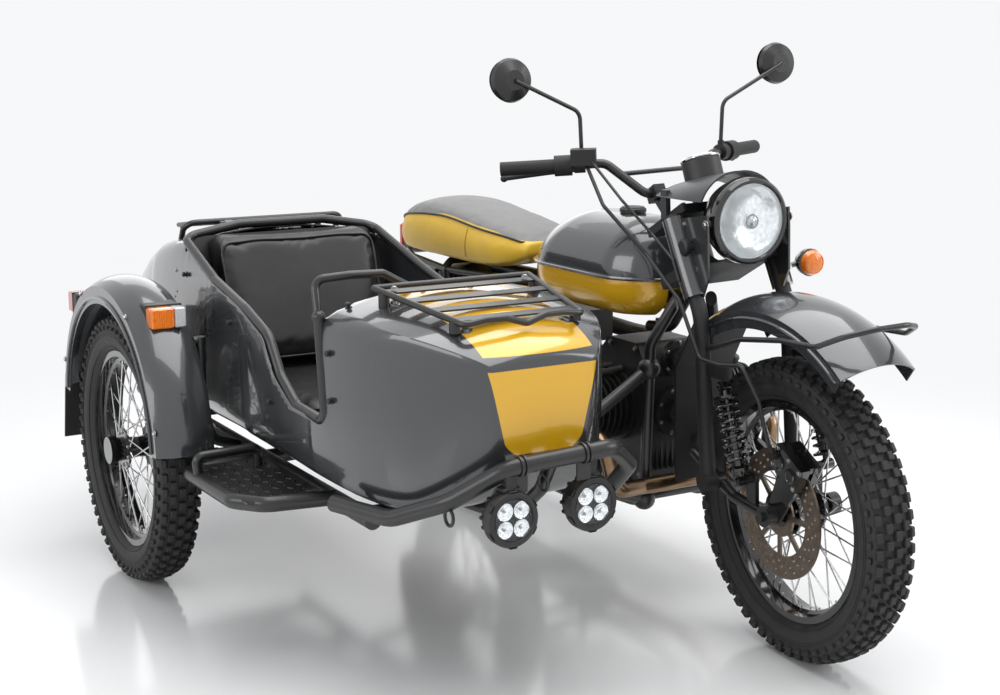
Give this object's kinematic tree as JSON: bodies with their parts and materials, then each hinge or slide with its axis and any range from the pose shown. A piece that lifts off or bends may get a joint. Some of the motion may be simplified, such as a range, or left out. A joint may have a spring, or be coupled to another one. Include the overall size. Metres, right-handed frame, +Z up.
{
  "type": "sidecar motorcycle",
  "caption": "Motorcycle with a leading-link fork, flat twin engine and wire wheels, joined to a right-hand passenger sidecar with a lidded trunk, racks and a tube bumper.",
  "frame": {"origin": "on the floor under the middle of the whole machine's bounding box", "axes": "+X forward, the way the machine drives, +Y to the rider's left, +Z up"},
  "size_m": [2.4101, 1.6017, 1.3563],
  "materials": {
    "grey_gloss": "gloss",
    "yellow_gloss": "gloss",
    "black_gloss": "gloss",
    "black_satin": "satin",
    "grey_matte": "satin",
    "black_plastic": "satin",
    "tyre": "matte",
    "rim": "gloss",
    "steel": "satin",
    "engine_black": "satin",
    "exhaust_steel": "satin",
    "vinyl_yellow": "satin",
    "vinyl_black": "satin",
    "lamp_glass": "gloss",
    "amber": "gloss",
    "red_lens": "gloss",
    "mirror_black": "gloss"
  },
  "bodies": {
    "chassis": {"sidecar_mudguard": "grey_gloss", "rear_mudguard": "black_satin", "tank_top": "grey_gloss", "tank_base": "yellow_gloss", "fuel_cap": "black_plastic", "seat": "vinyl_yellow", "frame": "black_satin", "engine": "engine_black", "cylinders": "engine_black", "intakes": "black_satin", "exhaust": "exhaust_steel", "swingarm": "black_satin", "rear_shocks": "black_satin", "foot_pegs": "black_satin", "tail_lamp": "red_lens", "side_boxes": "black_satin", "coaming": "black_satin", "sidecar_body": "grey_gloss", "nose_rack": "black_satin", "sidecar_cushion": "vinyl_black", "sidecar_backrest": "vinyl_black", "sidecar_frame": "black_satin", "sidecar_swingarm": "black_satin", "step": "black_satin", "bumper": "black_satin", "driving_lamps": "black_satin", "sidecar_lamps": "amber"},
    "steering": {"fork": "black_satin", "fork_shocks": "black_satin", "front_link": "black_satin", "front_caliper": "black_satin", "fork_covers": "grey_matte", "headlight_shell": "black_gloss", "headlight_lens": "lamp_glass", "nacelle": "grey_matte", "gauge": "black_plastic", "handlebar": "black_satin", "controls": "black_plastic", "control_lines": "black_plastic", "mirrors": "mirror_black", "front_mudguard": "grey_gloss", "mudguard_rail": "black_satin", "front_indicator": "amber"},
    "front_wheel": {"front_wheel": "rim", "front_tyre": "tyre", "front_disc": "steel"},
    "rear_wheel": {"rear_wheel": "rim", "rear_tyre": "tyre"},
    "sidecar_wheel": {"sidecar_wheel": "rim", "sidecar_tyre": "tyre"},
    "trunk_lid": {"trunk_lid": "grey_gloss", "trunk_rack": "black_satin"}
  },
  "joints": [
    {"name": "steering", "type": "hinge", "parent": "chassis", "child": "steering", "pos_m": [0.50641, 0.376, 0.80191], "axis": [-0.454, 0, 0.891], "range_deg": [-31.35, 42.65]},
    {"name": "front_wheel_spin", "type": "hinge", "parent": "steering", "child": "front_wheel", "pos_m": [0.86452, 0.36508, 0.34225], "axis": [0.0877, 0.9951, 0.0447], "continuous": true},
    {"name": "rear_wheel_spin", "type": "hinge", "parent": "chassis", "child": "rear_wheel", "pos_m": [-0.605, 0.376, 0.3425], "axis": [0, 1, 0], "continuous": true},
    {"name": "sidecar_wheel_spin", "type": "hinge", "parent": "chassis", "child": "sidecar_wheel", "pos_m": [-0.419, -0.725, 0.3425], "axis": [0, 1, 0], "continuous": true},
    {"name": "trunk_lid_hinge", "type": "hinge", "parent": "chassis", "child": "trunk_lid", "pos_m": [-0.574, -0.279, 0.88], "axis": [0, 1, 0], "range_deg": [0, 70]}
  ]
}
